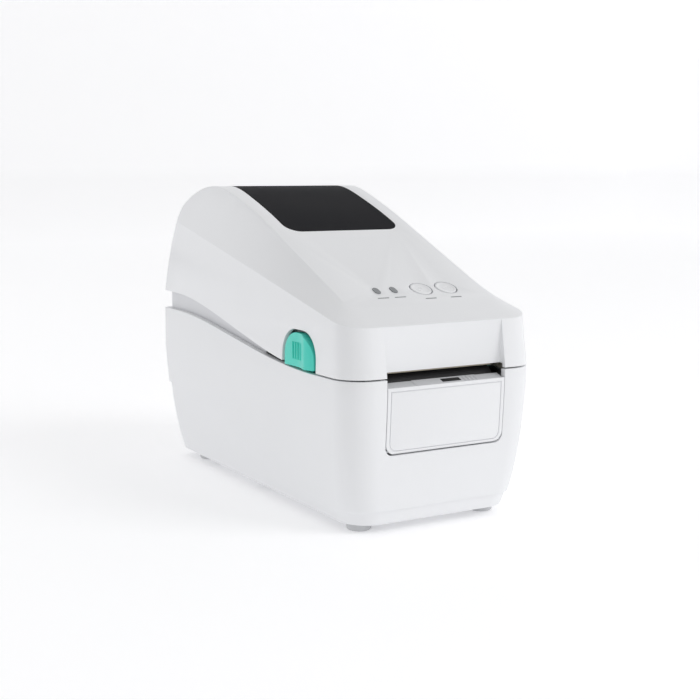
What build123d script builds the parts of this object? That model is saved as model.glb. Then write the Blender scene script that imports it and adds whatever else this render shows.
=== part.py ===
from build123d import *
import os
from math import cos, pi, radians, sin

# Desktop label printer with a clamshell cover.  Millimetres, +Z up.  The origin is on the surface
# the printer stands on, under the middle of its length and width.  -Y is the front, where labels
# come out, and +X is the right-hand side seen from the front.

# ---- driving sizes -------------------------------------------------------------------------
WIDTH = 108.0              # widest, at the joint line between cover and base
LENGTH = 220.0             # front to rear at the joint line
WALL = 2.2                 # moulded outer walls
INNER_WALL = 2.0           # moulded inner walls
FIT = 0.4                  # gap between pieces that sit or slide beside each other
RUNNING = 0.05             # radial gap of a shaft in its bearing
FOOT_HEIGHT = 4.4          # how far the rubber feet hold the base up
FOOT_DIAMETER = 12.0
MEDIA_WIDTH = 62.0         # space between the media guides at rest
MEDIA_TRAVEL = 12.0        # how far each guide slides either way
PLATEN_DIAMETER = 15.0
BUTTON_DIAMETER = 11.5

HALF_WIDTH = WIDTH / 2
FRONT = -LENGTH / 2
REAR = LENGTH / 2
CORNER_FRONT = 15.0        # plan radius of the two front corners
CORNER_REAR = 7.0          # plan radius of the two rear corners

# Base casing: height, and how far the wall has come in from the joint line.
BASE_TAPER = [(FOOT_HEIGHT, 7.4), (12.0, 5.6), (31.0, 2.6), (50.0, 0.9), (66.0, 0.0)]
SKIRT_STEP = 1.0           # the wall below the sweeping line is set in by this much
SWOOSH_FRONT = 11.3        # height of that line at the front
SWOOSH_REAR = 46.0         # and at the rear
BASE_EDGE_FRONT = 74.2     # top edge of the base casing
BASE_EDGE_REAR = 88.6
COVER_EDGE_FRONT = 75.0    # bottom edge of the cover
COVER_EDGE_REAR = 98.8

# Cover.
TOP_SLOPE = 0.43           # rise of the sloping top per unit of length
BROW_Y = FRONT + 18.0      # front crease of the sloping top
BROW_Z = 105.2
TOP_HALF_WIDTH = 42.0      # half width of the top face
SHOULDER_SLOPE = 0.217     # rise of the crease along each side
SHOULDER_Y = FRONT + 3.5
SHOULDER_Z = 98.3
SHOULDER_HALF_WIDTH = HALF_WIDTH - 0.7
SLOPE_END_Y = -6.0         # the sloping top runs straight up to here
CREST_Y = 57.0             # highest point of the cover
CREST_Z = 160.4

# Mouth and front door.
DOOR_HALF_WIDTH = 33.0
DOOR_BOTTOM = 38.7
DOOR_TOP = 70.3
DOOR_CORNER = 5.6          # radius of the door's two bottom corners
DOOR_GROOVE = 1.6          # inset of the line that runs round the door
MOUTH_BOTTOM = 72.4
MOUTH_TOP = 77.0
MOUTH_RECESS = 4.7         # how far the centre plate is set back at its bottom
DOOR_PIN_Y = FRONT + 3.4
DOOR_PIN_Z = DOOR_BOTTOM + 1.8
DOOR_PIN_RADIUS = 0.9

# Hinge, platen, gears and latch.
HINGE_Y = REAR - 7.0
HINGE_Z = 95.4
HINGE_PIN_RADIUS = 2.0
HINGE_ARM_X = (36.6, 43.4)
PLATEN_Y = FRONT + 14.0
PLATEN_Z = 67.9
PLATEN_RADIUS = PLATEN_DIAMETER / 2
SHAFT_RADIUS = 3.0
MODULE = 1.0
PLATEN_TEETH = 16
IDLER_TEETH = 30
PINION_TEETH = 10
IDLER_DISTANCE = (PLATEN_TEETH + IDLER_TEETH) * MODULE / 2
PINION_DISTANCE = IDLER_DISTANCE + (IDLER_TEETH + PINION_TEETH) * MODULE / 2
GEAR_X = 41.5              # middle of the gear train
GEAR_FACE = 5.0
MOTOR_SHAFT_RADIUS = 1.5
GEAR_LINE_ANGLE = -39.5    # direction of the motor from the platen, degrees below the level
LATCH_Y = FRONT + 51.0
LATCH_Z = 61.0
LATCH_SHAFT_RADIUS = 2.5
LEVER_Y = FRONT + 47.3     # middle of the pull levers
LEVER_HALF_LENGTH = 14.0
LEVER_TOP = 91.0
LEVER_BOTTOM = BASE_EDGE_FRONT + 1.6
LEVER_X_IN = HALF_WIDTH - 3.4
ARCH_GAP = 3.0             # gap between each lever and its cut-out in the cover
ARCH_TOP = 93.6
STRIKER_Y = LATCH_Y + 7.0  # rods in the cover that the hooks hold
STRIKER_Z = 79.0
STRIKER_RADIUS = 1.5
FRAME_TOP_Z = 90.0         # underside of the cover's inner frame

# Controls on the sloping top.
BUTTON_Y = FRONT + 33.0
BUTTONS_X = {"feed_button": 6.5, "pause_button": 21.2}
LAMPS_X = (-19.1, -9.5)
LAMP_LENGTH = 5.6
LAMP_WIDTH = 3.0
BOARD_DROP = 9.0           # control board below the top face

# Window in the top of the cover.
WINDOW_HALF_WIDTH = 34.0
WINDOW_FRONT = -16.0
WINDOW_REAR = 80.0
WINDOW_CORNER = 8.0

# Media bay.
BAY_FRONT = -20.0
BAY_REAR = REAR - 5.5
BAY_FLOOR = 43.0
TUB_GAP = 0.25             # between the tub and the inside of the base casing
TUB_HALF_WIDTH = HALF_WIDTH - WALL - SKIRT_STEP - TUB_GAP
ROLL_Y = 40.0
ROLL_Z = 96.0
TRACK_Y = ROLL_Y
TRACK_TOP = BAY_FLOOR + 0.6
TRACK_FLOOR = BAY_FLOOR - 5.0
TRACK_TEETH = 12
RACK_PITCH_RADIUS = TRACK_TEETH * MODULE / 2

# Rear connector panel.
PANEL_Y = REAR - 13.0
PANEL_HALF_WIDTH = 40.0
PANEL_LOW = 9.0
PANEL_HIGH = 37.0
BOARD_Z = 11.5
BOARD_THICKNESS = 1.6
SWITCH_X = 24.0
SWITCH_Z = 22.25
ROCKER_Y = PANEL_Y - 2.0

# Print mechanism frame, sensor, feet and screw posts.
FRAME_X = 36.5             # inner face of the steel side plates
FRAME_T = 1.6
FRAME_BASE = 20.0
HEAD_Z = PLATEN_Z + PLATEN_RADIUS + 0.3
SENSOR_Y = FRONT + 70.0
FEET = [(-35.5, FRONT + 21.5), (35.5, FRONT + 21.5), (-35.5, REAR - 27.0), (35.5, REAR - 27.0)]
POSTS = [(-39.6, 2.0), (39.6, 2.0), (-39.6, 66.0), (39.6, 66.0)]
FRAME_POSTS = [(-30.0, -72.0), (30.0, -72.0), (-30.0, -36.0), (30.0, -36.0)]
BOARD_POSTS = [(-31.5, 12.0), (31.5, 12.0), (-31.5, 72.0), (31.5, 72.0)]


# ---- helpers -------------------------------------------------------------------------------
def outline(plane, half_width, y_front, y_rear, r_front, r_rear):
    """Rounded rectangle on a plane that may slope up towards the rear."""
    slant = plane.z_dir.Z
    front = (y_front - plane.origin.Y) / slant
    rear = (y_rear - plane.origin.Y) / slant
    face = Rectangle(2 * half_width, rear - front)
    face = fillet(face.vertices().group_by(Axis.Y)[0], r_front)
    face = fillet(face.vertices().group_by(Axis.Y)[-1], r_rear)
    return plane * Pos(0, (front + rear) / 2, 0) * face


def sloping_plane(y, z, slope):
    return Plane(origin=(0, y, z), x_dir=(1, 0, 0), z_dir=(0, -slope, 1))


def block(x0, x1, y0, y1, z0, z1):
    return Pos((x0 + x1) / 2, (y0 + y1) / 2, (z0 + z1) / 2) * Box(x1 - x0, y1 - y0, z1 - z0)


def rod_x(x0, x1, y, z, radius):
    return Pos((x0 + x1) / 2, y, z) * Rot(0, 90, 0) * Cylinder(radius, x1 - x0)


def rod_y(y0, y1, x, z, radius):
    return Pos(x, (y0 + y1) / 2, z) * Rot(90, 0, 0) * Cylinder(radius, y1 - y0)


def rod_z(z0, z1, x, y, radius):
    return Pos(x, y, (z0 + z1) / 2) * Cylinder(radius, z1 - z0)


def side_prism(points, x0, x1):
    """Plate between x0 and x1 whose side outline is the polygon of (y, z) points."""
    face = make_face(Polyline(*points, close=True))
    return Pos(x0, 0, 0) * extrude(Plane.YZ * face, x1 - x0)


def below_curve(edge, depth):
    """Full-width block under an edge curve given in (y, z)."""
    rest = Polyline(edge @ 1, ((edge @ 1).X, depth), ((edge @ 0).X, depth), edge @ 0)
    return extrude(Plane.YZ * make_face([edge, rest]), WIDTH, both=True)


def mirrored(shape):
    return shape + mirror(shape, Plane.YZ)


def top_z(y):
    return BROW_Z + TOP_SLOPE * (y - BROW_Y)


def on_top(x, y, depth):
    """Place on the sloping top, with local +Z along its outward normal, sunk by depth."""
    place = Plane(origin=(x, y, top_z(y)), x_dir=(1, 0, 0), z_dir=(0, -TOP_SLOPE, 1))
    return place * Pos(0, 0, -depth)


def save(name, shape):
    solids = shape.solids() if hasattr(shape, "solids") else list(shape)
    result = solids[0] if len(solids) == 1 else Compound(children=list(solids))
    export_step(result, f"parts/{name}.step")


# ---- outer housing -------------------------------------------------------------------------
def base_hull(inset):
    faces = []
    for z, come_in in BASE_TAPER:
        d = come_in + inset
        faces.append(outline(Plane((0, 0, z)), HALF_WIDTH - d, FRONT + d, REAR - d,
                             CORNER_FRONT - 0.5 * inset, CORNER_REAR - 0.3 * inset))
    hull = loft(faces)
    return hull + extrude(faces[-1], SHOULDER_Z + 20 - BASE_TAPER[-1][0])


def base_edge():
    rise = BASE_EDGE_REAR - BASE_EDGE_FRONT
    return Spline((FRONT - 5, BASE_EDGE_FRONT), (FRONT + 50, BASE_EDGE_FRONT),
                  (15, BASE_EDGE_FRONT + 0.55 * rise), (REAR - 40, BASE_EDGE_REAR - 0.4),
                  (REAR + 5, BASE_EDGE_REAR), tangents=[(1, 0), (1, 0)])


def cover_edge():
    rise = COVER_EDGE_REAR - COVER_EDGE_FRONT
    return Spline((FRONT - 5, COVER_EDGE_FRONT), (FRONT + 50, COVER_EDGE_FRONT + 0.4),
                  (15, COVER_EDGE_FRONT + 0.55 * rise), (REAR - 40, COVER_EDGE_REAR - 1.0),
                  (REAR + 5, COVER_EDGE_REAR), tangents=[(1, 0), (1, 0)])


def swoosh_line():
    rise = SWOOSH_REAR - SWOOSH_FRONT
    return Spline((FRONT - 5, SWOOSH_FRONT), (FRONT + 50, SWOOSH_FRONT), (0, SWOOSH_FRONT + 0.3 * rise),
                  (REAR - 54, SWOOSH_FRONT + 0.7 * rise), (REAR + 5, SWOOSH_REAR),
                  tangents=[(1, 0), (1, 0.12)])


def moved_in(edge, inset, count):
    """Curve through points of the edge, each moved towards the inside of the cover."""
    points = []
    for k in range(count + 1):
        spot = edge @ (k / count)
        along = edge % (k / count)
        points.append((spot.X + inset * along.Y, spot.Y - inset * along.X))
    return Spline(*points, tangents=[edge % 0, edge % 1])


def roof(inset):
    start = (FRONT - 30, top_z(FRONT - 30))
    slope_end = (SLOPE_END_Y, top_z(SLOPE_END_Y))
    slope = Line(start, slope_end)
    over = Spline(slope_end, (28, 154.8), (CREST_Y, CREST_Z), (84, 148.6), (100.5, 122.5),
                  (REAR, COVER_EDGE_REAR - 1), tangents=[slope % 1, (0.3, -1)])
    if inset:
        over = moved_in(over, inset, 10)
        along = slope % 0
        slope = Line((start[0] + inset * along.Y, start[1] - inset * along.X), over @ 0)
    rest = Polyline(over @ 1, ((over @ 1).X + 1, 40), (FRONT - 30, 40), slope @ 0)
    return extrude(Plane.YZ * make_face([slope, over, rest]), WIDTH, both=True)


def tail(inset):
    """Rounds the two rear corners of the cover all the way up."""
    faces = []
    corner = CORNER_REAR + 2 - 0.5 * inset
    back = [(REAR + 2.5, 60.0), (REAR + 0.5, COVER_EDGE_REAR), (101.6, 122.5), (85.6, 148.6), (58.0, 176.0)]
    for y, z in back:
        faces.append(outline(Plane((0, 0, z)), HALF_WIDTH + 0.2 - inset, FRONT - 20, y - inset, 1.0, corner))
    return loft(faces)


def cover_block(inset):
    draw_in = 0.6 * inset
    low = outline(Plane((0, 0, 60.0)), HALF_WIDTH + 0.4 - inset, FRONT - 2.2 + inset, REAR + 3 - inset,
                  CORNER_FRONT - draw_in, CORNER_REAR)
    shoulder = sloping_plane(SHOULDER_Y, SHOULDER_Z, SHOULDER_SLOPE)
    middle = outline(shoulder, SHOULDER_HALF_WIDTH - inset, SHOULDER_Y + inset, REAR + 3 - inset,
                     CORNER_FRONT - 1 - draw_in, CORNER_REAR)
    brow = sloping_plane(BROW_Y, BROW_Z, TOP_SLOPE)
    high = outline(brow, TOP_HALF_WIDTH - inset, BROW_Y + inset, REAR - 14, 8 - draw_in, CORNER_REAR)
    return loft([low, middle, high], ruled=True) & roof(inset) & tail(inset)


def make_base_casing():
    upper = base_hull(0)
    skirt = base_hull(SKIRT_STEP)
    below = below_curve(swoosh_line(), -10)
    shell = (upper - below) + (skirt & below)
    pocket = block(-PANEL_HALF_WIDTH - WALL, PANEL_HALF_WIDTH + WALL, PANEL_Y - WALL, REAR + 5,
                   PANEL_LOW - WALL, PANEL_HIGH + WALL)
    shell -= base_hull(WALL + SKIRT_STEP) - pocket
    shell &= below_curve(base_edge(), -10)
    shell -= block(-PANEL_HALF_WIDTH, PANEL_HALF_WIDTH, PANEL_Y, REAR + 5, PANEL_LOW, PANEL_HIGH)
    shell -= front_opening(FIT)
    for x0, x1, z0, z1 in panel_holes():
        shell -= block(x0, x1, PANEL_Y - WALL - 1, PANEL_Y + 1, z0, z1)
    boss = block(DOOR_HALF_WIDTH + 0.6, DOOR_HALF_WIDTH + 3.8, FRONT, DOOR_PIN_Y + 2.6,
                 DOOR_PIN_Z - 3, DOOR_PIN_Z + 3)
    boss = (boss & base_hull(1.0)) - rod_x(30, 40, DOOR_PIN_Y, DOOR_PIN_Z, DOOR_PIN_RADIUS)
    shell += mirrored(boss)
    return shell


def front_opening(gap):
    """The door's outline through the front wall, open at the top."""
    half = DOOR_HALF_WIDTH + gap
    face = make_face(Polyline((-half, DOOR_BOTTOM - gap), (half, DOOR_BOTTOM - gap), (half, 80), (-half, 80),
                              close=True))
    face = fillet(face.vertices().group_by(Axis.Y)[0], DOOR_CORNER - 3 * gap)
    return extrude(Plane.XZ * face, LENGTH) & block(-60, 60, FRONT - 5, FRONT + 12, 0, 100)


def panel_holes():
    """Openings in the connector panel as x0, x1, z0, z1."""
    deck = BOARD_Z + BOARD_THICKNESS
    return [(-32.4, -19.6, deck - 0.2, deck + 11.4), (-8.4, 4.4, deck - 0.2, deck + 11.4),
            (14.0, 34.0, 15.0, 29.5)]


def make_base_plate():
    d = BASE_TAPER[0][1] + SKIRT_STEP + WALL + FIT
    face = outline(Plane((0, 0, FOOT_HEIGHT)), HALF_WIDTH - d, FRONT + d, PANEL_Y - WALL - FIT,
                   CORNER_FRONT - 0.5 * (SKIRT_STEP + WALL) - FIT, 3)
    plate = extrude(face, 2.4)
    for x, y in FEET:
        plate -= rod_z(FOOT_HEIGHT - 1, FOOT_HEIGHT + 1.0, x, y, FOOT_DIAMETER / 2)
    for x, y in FRAME_POSTS:
        plate += rod_z(FOOT_HEIGHT + 2.0, FRAME_BASE, x, y, 3.6)
    for x, y in POSTS + FRAME_POSTS:
        plate -= rod_z(FOOT_HEIGHT - 1, FRAME_BASE + 1, x, y, 1.7)
        plate -= rod_z(FOOT_HEIGHT - 1, FOOT_HEIGHT + 1.2, x, y, 3.2)
    for x, y in BOARD_POSTS:
        plate += rod_z(FOOT_HEIGHT + 2.0, BOARD_Z, x, y, 2.8)
    for k in range(9):
        y = -30 + 6.0 * k
        plate -= block(-18, 18, y, y + 2.4, 0, 10)
    return plate


def make_feet():
    feet = []
    for x, y in FEET:
        foot = rod_z(0, FOOT_HEIGHT + 1.0, x, y, FOOT_DIAMETER / 2)
        feet.append(chamfer(foot.edges().group_by(Axis.Z)[0], 0.6))
    return feet


# ---- media bay -----------------------------------------------------------------------------
def bay_side(offset):
    """Side outline of the roll space: front lip, curved floor, rear lip."""
    half = (BAY_REAR - BAY_FRONT) / 2
    middle = (BAY_REAR + BAY_FRONT) / 2
    rise = BASE_EDGE_FRONT - 2 - BAY_FLOOR
    radius = (half * half + rise * rise) / (2 * rise)
    disc = rod_x(-WIDTH, WIDTH, middle, BAY_FLOOR + radius, radius + offset)
    return disc & block(-WIDTH, WIDTH, BAY_FRONT - offset, BAY_REAR + offset, BAY_FLOOR - 20,
                        BASE_EDGE_FRONT - 2)


def make_media_tub():
    wall = INNER_WALL
    half = TUB_HALF_WIDTH
    rim_z = BASE_EDGE_FRONT - 2
    outer = bay_side(wall) & block(-half, half, -WIDTH, WIDTH, 0, rim_z)
    outer += block(-half, half, BAY_FRONT - wall, BAY_REAR + wall, rim_z, 112)
    top = Spline((-40, 78), (-20, 80.5), (15, 89.5), (50, 97.5), (85, 100.2), (REAR, 99.6))
    outer &= below_curve(top, 0)
    inner = bay_side(0) + block(-WIDTH, WIDTH, BAY_FRONT, BAY_REAR, rim_z - 0.01, 140)
    casing_inside = WALL + SKIRT_STEP + TUB_GAP
    outer &= base_hull(casing_inside)
    tub = outer - (inner & base_hull(casing_inside + wall))
    tub -= block(-half + wall, half - wall, BAY_FRONT - 5, BAY_FRONT + 1, rim_z - 1.5, 90)
    tub -= block(-half - 1, half + 1, BAY_REAR - 1, REAR, 97.0, 120)
    pad = block(-44, 44, TRACK_Y - 16, TRACK_Y + 16, BAY_FLOOR - 7.0, TRACK_TOP)
    tub += pad
    tub -= block(-46, 46, TRACK_Y - 15, TRACK_Y + 15, TRACK_TOP, TRACK_TOP + 5)
    tub -= block(-42, 42, TRACK_Y - 12, TRACK_Y + 12, TRACK_FLOOR, BAY_FLOOR + 5)
    tub += rod_z(TRACK_FLOOR - 1, TRACK_FLOOR + 3.6, 0, TRACK_Y, 1.5)
    for x, y in POSTS:
        post = rod_z(FOOT_HEIGHT + 2.4, 74, x, y, 3.6) - bay_filled()
        post = post.solids().sort_by(Axis.Z)[0] - rod_z(0, FOOT_HEIGHT + 16, x, y, 1.3)
        tub += post
    arm_in, arm_out = HINGE_ARM_X
    for x0, x1 in ((arm_in - 3.0, arm_in - FIT), (arm_out + FIT, arm_out + 3.0)):
        bracket = rod_x(x0, x1, HINGE_Y, HINGE_Z, 4.4)
        bracket += block(x0, x1, HINGE_Y - 4.4, HINGE_Y + 3.4, 84, HINGE_Z)
        tub += mirrored(bracket)
    notch = rod_x(HINGE_ARM_X[0] - FIT, HINGE_ARM_X[1] + FIT, HINGE_Y, HINGE_Z, 5.2)
    notch += block(HINGE_ARM_X[0] - FIT, HINGE_ARM_X[1] + FIT, HINGE_Y - 12, REAR, HINGE_Z - 5.2, 130)
    tub -= mirrored(notch)
    pin_hole = rod_x(HINGE_ARM_X[0] - 3.4, HINGE_ARM_X[1] + 3.4, HINGE_Y, HINGE_Z, HINGE_PIN_RADIUS)
    tub -= mirrored(pin_hole)
    return tub


def bay_filled():
    return bay_side(0.5) + block(-60, 60, BAY_FRONT - 0.5, BAY_REAR, BASE_EDGE_FRONT - 2.01, 140)


def tooth_ring(teeth, module, thickness, bore, phase):
    """Spur gear about Z, standing on Z=0, with a tooth at the phase angle in degrees."""
    pitch = teeth * module / 2
    root = pitch - 1.2 * module
    tip = pitch + 0.8 * module
    gear = Cylinder(root + 0.05, thickness)
    half_root = 0.82 * module
    half_tip = 0.28 * module
    corners = [(root - 0.6, -half_root), (tip, -half_tip), (tip, half_tip), (root - 0.6, half_root)]
    profile = make_face(Polyline(*corners, close=True))
    tooth = extrude(profile, thickness / 2, both=True)
    teeth_set = [Rot(0, 0, phase + 360 * k / teeth) * tooth for k in range(teeth)]
    gear = gear + teeth_set
    if bore:
        gear -= Cylinder(bore, thickness + 2)
    return Pos(0, 0, thickness / 2) * gear


def gear_on_x(teeth, y, z, bore, phase):
    """Gear about X; the phase angle is measured from +Y towards +Z."""
    ring = tooth_ring(teeth, MODULE, GEAR_FACE, bore, phase)
    place = Plane(origin=(GEAR_X - GEAR_FACE / 2, y, z), x_dir=(0, 1, 0), z_dir=(1, 0, 0))
    return place * ring


def gear_centre(distance):
    a = radians(GEAR_LINE_ANGLE)
    return PLATEN_Y + distance * cos(a), PLATEN_Z + distance * sin(a)


def rack(length, width, height):
    """Toothed bar along X with its teeth towards +Y; the pitch line is Y=0."""
    pitch = pi * MODULE
    bar = block(0, length, -width - 1.2 * MODULE, -1.2 * MODULE, 0, height)
    profile = make_face(Polyline((-0.82, -1.6), (0.82, -1.6), (0.28, 0.8), (-0.28, 0.8), close=True))
    tooth = extrude(profile, height)
    count = int(length / pitch)
    return bar + [Pos((k + 0.5) * pitch, 0, 0) * tooth for k in range(count)]


def make_media_guide():
    """Guide on the -X side; the other one is the same turned half a turn about the track centre."""
    pitch = pi * MODULE
    count = 17
    length = count * pitch
    start = -(count - 5.5) * pitch
    bar = Pos(start, TRACK_Y - RACK_PITCH_RADIUS, TRACK_FLOOR + FIT) * rack(length, 3.6, 2.8)
    inner = -MEDIA_WIDTH / 2
    neck = block(inner - 4.0, inner, TRACK_Y - RACK_PITCH_RADIUS - 4.8, TRACK_Y - RACK_PITCH_RADIUS - 1.3,
                 TRACK_FLOOR + 1, TRACK_TOP + FIT + 1)
    arm = make_face(Polyline((TRACK_Y - 14, TRACK_TOP + FIT), (TRACK_Y + 14, TRACK_TOP + FIT),
                             (ROLL_Y + 9, ROLL_Z), (ROLL_Y - 9, ROLL_Z), close=True))
    arm = Pos(inner - 4.0, 0, 0) * extrude(Plane.YZ * arm, 4.0)
    arm += rod_x(inner - 4.0, inner, ROLL_Y, ROLL_Z, 15)
    window = rod_x(inner - 5, inner + 1, ROLL_Y, ROLL_Z - 31, 7)
    spindle = rod_x(inner - 1, inner + 7.5, ROLL_Y, ROLL_Z, 3.0)
    cap = rod_x(inner + 7.5, inner + 8.7, ROLL_Y, ROLL_Z, 4.2)
    return bar + neck + (arm - window) + spindle + cap


def make_roll_hub():
    inner = -MEDIA_WIDTH / 2
    hub = rod_x(inner + FIT, inner + 7.0, ROLL_Y, ROLL_Z, 12)
    hub = chamfer(hub.edges().group_by(Axis.X)[-1], 2.0)
    hub -= rod_x(inner, inner + 8, ROLL_Y, ROLL_Z, 3.0 + RUNNING)
    hub -= rod_x(inner + 6.4, inner + 8, ROLL_Y, ROLL_Z, 5.0)
    for k in range(6):
        place = Pos(inner + 3, ROLL_Y, ROLL_Z) * Rot(60 * k, 0, 0)
        hub -= place * Pos(2.5, 0, 8.2) * Box(7, 3.2, 3.2)
    return hub


def turned_about_track(shape):
    return Pos(0, TRACK_Y, 0) * Rot(0, 0, 180) * Pos(0, -TRACK_Y, 0) * shape


def make_track_cover():
    plate = block(-42 + 0.1, 42 - 0.1, TRACK_Y - 12 + 0.1, TRACK_Y + 12 - 0.1, TRACK_TOP - 1.6, TRACK_TOP)
    near = TRACK_Y - RACK_PITCH_RADIUS - 4.8 - 0.5
    inner = -MEDIA_WIDTH / 2
    slot = block(-42 + 1.6, inner + MEDIA_TRAVEL + 0.6, near, near + 4.5, 0, 60)
    plate -= slot
    plate -= turned_about_track(slot)
    return plate


def make_guide_pinion():
    return Pos(0, TRACK_Y, TRACK_FLOOR + FIT) * tooth_ring(TRACK_TEETH, MODULE, 2.8, 1.5 + RUNNING, 105)


def make_track_screws():
    return [Pos(x, y, 0) * rod_z(TRACK_TOP, TRACK_TOP + 0.8, 0, 0, 1.8) for x, y in ((-12, 48), (12, 32))]


# ---- print mechanism in the base -------------------------------------------------------------
def frame_side():
    """Steel side plate outline in (y, z), closed polygon."""
    return [(FRONT + 7, 58), (FRONT + 7, 62), (PLATEN_Y - 6.2, 73.2), (PLATEN_Y + 6.2, 73.2), (-86, 66),
            (-40, 66), (-26, 68), (-26, 60), (-44, 20), (-92, 20), (-94, 44), (FRONT + 9, 50)]


def make_print_frame():
    side = side_prism(frame_side(), FRAME_X, FRAME_X + FRAME_T)
    side -= rod_x(0, 80, PLATEN_Y, PLATEN_Z, SHAFT_RADIUS + 2.0)
    frame = mirrored(side)
    idler_y, idler_z = gear_centre(IDLER_DISTANCE)
    motor_y, motor_z = gear_centre(PINION_DISTANCE)
    frame -= rod_x(FRAME_X - 1, FRAME_X + FRAME_T + 1, motor_y, motor_z, 6.5)
    frame += block(-FRAME_X - 0.1, FRAME_X + 0.1, -78, -30, 20, 20 + FRAME_T)
    frame += block(-FRAME_X - 0.1, FRAME_X + 0.1, -80, -27, 64.4, 66)
    frame += rod_x(FRAME_X + 0.5, GEAR_X + GEAR_FACE / 2 + 1.0, idler_y, idler_z, 2.0)
    frame -= mirrored(rod_x(FRAME_X - 1, FRAME_X + 3, LATCH_Y, LATCH_Z, LATCH_SHAFT_RADIUS + 1.2))
    frame -= block(-24, -2, LATCH_Y - 5.5, LATCH_Y + 5.5, 63, 67)
    return frame


def make_platen():
    roller = rod_x(-31, 31, PLATEN_Y, PLATEN_Z, PLATEN_RADIUS)
    return roller - rod_x(-32, 32, PLATEN_Y, PLATEN_Z, SHAFT_RADIUS + 1)


def make_platen_shaft():
    shaft = rod_x(-31.0, 31.0, PLATEN_Y, PLATEN_Z, SHAFT_RADIUS + 1)
    shaft += rod_x(-FRAME_X - 3.2, GEAR_X + GEAR_FACE / 2 + 0.6, PLATEN_Y, PLATEN_Z, SHAFT_RADIUS)
    return shaft


def make_bearings():
    ring = rod_x(FRAME_X - 1.5, FRAME_X, PLATEN_Y, PLATEN_Z, SHAFT_RADIUS + 3.0)
    ring += rod_x(FRAME_X - 0.1, FRAME_X + FRAME_T, PLATEN_Y, PLATEN_Z, SHAFT_RADIUS + 2.0)
    ring -= rod_x(FRAME_X - 2, FRAME_X + 4, PLATEN_Y, PLATEN_Z, SHAFT_RADIUS + RUNNING)
    return [ring, mirror(ring, Plane.YZ)]


def make_motor_shaft():
    y, z = gear_centre(PINION_DISTANCE)
    return rod_x(FRAME_X - 15, GEAR_X + GEAR_FACE / 2 + 1.0, y, z, MOTOR_SHAFT_RADIUS)


def make_motor():
    y, z = gear_centre(PINION_DISTANCE)
    body = Pos(FRAME_X - 13, y, z) * Box(26, 35, 35)
    body = chamfer(body.edges().filter_by(Axis.X), 3.0)
    body += rod_x(FRAME_X - 0.1, FRAME_X + 1.2, y, z, 6.3)
    body -= rod_x(FRAME_X - 16, FRAME_X + 3, y, z, MOTOR_SHAFT_RADIUS + RUNNING)
    body += Pos(FRAME_X - 20, y + 19, z) * Box(10, 4, 12)
    return body


def make_motor_screws():
    y, z = gear_centre(PINION_DISTANCE)
    screws = []
    for dy in (-13, 13):
        for dz in (-13, 13):
            if dy < 0 < dz:
                continue
            screws.append(rod_x(FRAME_X + FRAME_T, FRAME_X + FRAME_T + 1.4, y + dy, z + dz, 2.0))
    return screws


# ---- front door -------------------------------------------------------------------------------
def make_front_door():
    face = make_face(Polyline((-DOOR_HALF_WIDTH, DOOR_BOTTOM), (DOOR_HALF_WIDTH, DOOR_BOTTOM),
                              (DOOR_HALF_WIDTH, DOOR_TOP), (-DOOR_HALF_WIDTH, DOOR_TOP), close=True))
    face = fillet(face.vertices().group_by(Axis.Y)[0], DOOR_CORNER)
    front_part = block(-HALF_WIDTH, HALF_WIDTH, FRONT - 5, FRONT + 20, 0, 100)
    column = extrude(Plane.XZ * face, LENGTH, both=True) & front_part
    panel = column & (base_hull(0) - base_hull(WALL))
    panel -= block(-HALF_WIDTH, HALF_WIDTH, FRONT - 5, FRONT + 20, 0, DOOR_PIN_Z)
    knuckle = rod_x(-DOOR_HALF_WIDTH, DOOR_HALF_WIDTH, DOOR_PIN_Y, DOOR_PIN_Z, DOOR_PIN_Z - DOOR_BOTTOM)
    panel += knuckle & column
    ring = offset(face, -DOOR_GROOVE) - offset(face, -DOOR_GROOVE - 0.5)
    groove = extrude(Plane.XZ * ring, LENGTH, both=True)
    panel -= groove & (base_hull(-0.5) - base_hull(0.5)) & front_part
    bore = DOOR_PIN_RADIUS + RUNNING
    panel -= rod_x(DOOR_HALF_WIDTH - 8, DOOR_HALF_WIDTH + 1, DOOR_PIN_Y, DOOR_PIN_Z, bore)
    return mirrored(panel & block(0, HALF_WIDTH, FRONT - 5, FRONT + 20, 0, 100))


def make_door_pins():
    pin = rod_x(DOOR_HALF_WIDTH - 7.5, DOOR_HALF_WIDTH + 3.4, DOOR_PIN_Y, DOOR_PIN_Z, DOOR_PIN_RADIUS)
    return [pin, mirror(pin, Plane.YZ)]


SHELF_FRONT = FRONT + 0.6
SHELF_REAR = FRONT + 5.6
SHELF_SLOPE = (MOUTH_BOTTOM - DOOR_TOP - 0.3) / 5.0


def shelf_strip(y0, y1, above, depth, x0, x1):
    """Bar lying along the slope of the shelf, its top the given height above it."""
    low = DOOR_TOP + SHELF_SLOPE * (y0 - SHELF_FRONT) + above
    high = DOOR_TOP + SHELF_SLOPE * (y1 - SHELF_FRONT) + above
    return side_prism([(y0, low), (y1, high), (y1, high - depth), (y0, low - depth)], x0, x1)


def above_door(shape):
    """What is left of a shape on the shelf where the door panel stands."""
    return shape - block(-HALF_WIDTH, HALF_WIDTH, FRONT - 5, FRONT + WALL, 0, DOOR_TOP)


def make_exit_shelf():
    wide = DOOR_HALF_WIDTH - 0.4
    plate = shelf_strip(SHELF_FRONT, SHELF_REAR, -0.2, 1.5, -wide, wide)
    plate += block(-wide, wide, FRONT + WALL, FRONT + 3.2, DOOR_TOP - 1.8, DOOR_TOP)
    plate += shelf_strip(SHELF_FRONT, SHELF_REAR, 0, 0.8, -17, 19)
    for k in range(4):
        x = 11.0 + 2.2 * k
        plate += shelf_strip(SHELF_FRONT, SHELF_REAR - 1, 0.25, 0.8, x, x + 0.9)
    return above_door(plate - make_take_sensor_window())


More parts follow.
